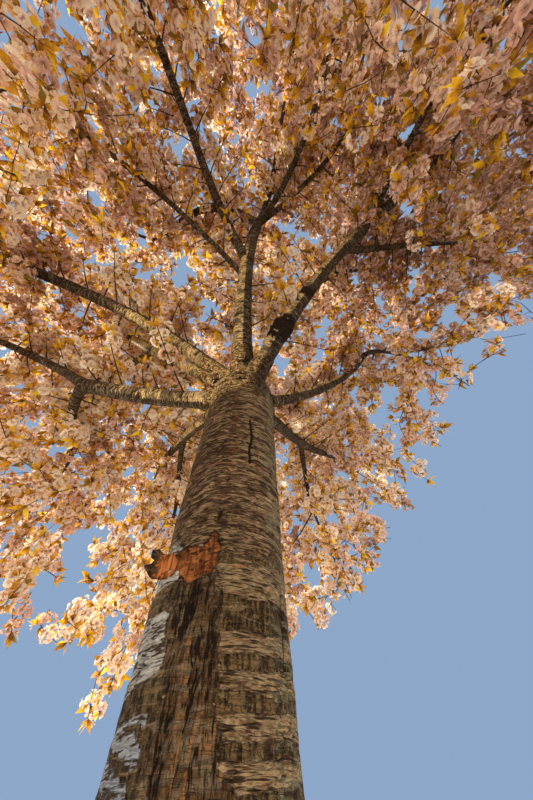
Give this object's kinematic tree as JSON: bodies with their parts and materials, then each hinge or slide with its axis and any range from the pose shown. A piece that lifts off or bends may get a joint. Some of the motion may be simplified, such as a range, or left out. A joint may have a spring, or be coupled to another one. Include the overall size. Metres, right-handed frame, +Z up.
{
  "type": "cherry blossom tree",
  "caption": "Mature standard cherry tree in full double pink blossom: ringed, furrowed trunk, low fork into spreading boughs and limbs, wide rounded crown of blossom and young bronze leaves.",
  "frame": {"origin": "centre of the flat foot of the trunk, at ground level", "axes": "+Z up along the trunk, +Y away from the picture's camera, +X to its right"},
  "size_m": [8.1173, 8.3142, 6.6477],
  "materials": {
    "bark": "rough brown-grey bark with pale level rings and furrows",
    "limb_bark": "dark reddish-brown bark with fine level rings",
    "blossom": "soft translucent salmon-pink petals with young bronze and olive leaves"
  },
  "bodies": {
    "root": {"trunk": "bark", "bough_left": "bark", "bough_left_front": "bark", "bough_left_steep": "bark", "bough_front": "bark", "bough_right_front": "bark", "bough_right": "bark", "bough_back_right": "bark", "bough_back": "bark", "bough_back_left": "bark", "limb_left_low": "limb_bark", "limb_left_high": "limb_bark", "limb_left_back": "limb_bark", "limb_front_left_long": "limb_bark", "limb_front_left_thin": "limb_bark", "limb_left_upper": "limb_bark", "limb_front_leader": "limb_bark", "limb_front_low": "limb_bark", "limb_front_high": "limb_bark", "limb_front_top": "limb_bark", "limb_right_front_end": "limb_bark", "limb_right_front_low": "limb_bark", "limb_right_high": "limb_bark", "limb_right_out": "limb_bark", "limb_back_right_low": "limb_bark", "limb_back_top": "limb_bark", "limb_back_out": "limb_bark", "limb_back_high_right": "limb_bark", "limb_back_left_low": "limb_bark", "blossom_left_front": "blossom", "blossom_left_steep": "blossom", "blossom_right": "blossom", "blossom_back_right": "blossom", "blossom_back_left": "blossom", "blossom_left_low": "blossom", "blossom_left_high": "blossom", "blossom_left_back": "blossom", "blossom_front_left_long": "blossom", "blossom_front_left_thin": "blossom", "blossom_left_upper": "blossom", "blossom_front_leader": "blossom", "blossom_front_low": "blossom", "blossom_front_high": "blossom", "blossom_front_top": "blossom", "blossom_right_front_end": "blossom", "blossom_right_front_low": "blossom", "blossom_right_high": "blossom", "blossom_right_out": "blossom", "blossom_back_right_low": "blossom", "blossom_back_top": "blossom", "blossom_back_out": "blossom", "blossom_back_high_right": "blossom", "blossom_back_left_low": "blossom"}
  },
  "joints": []
}
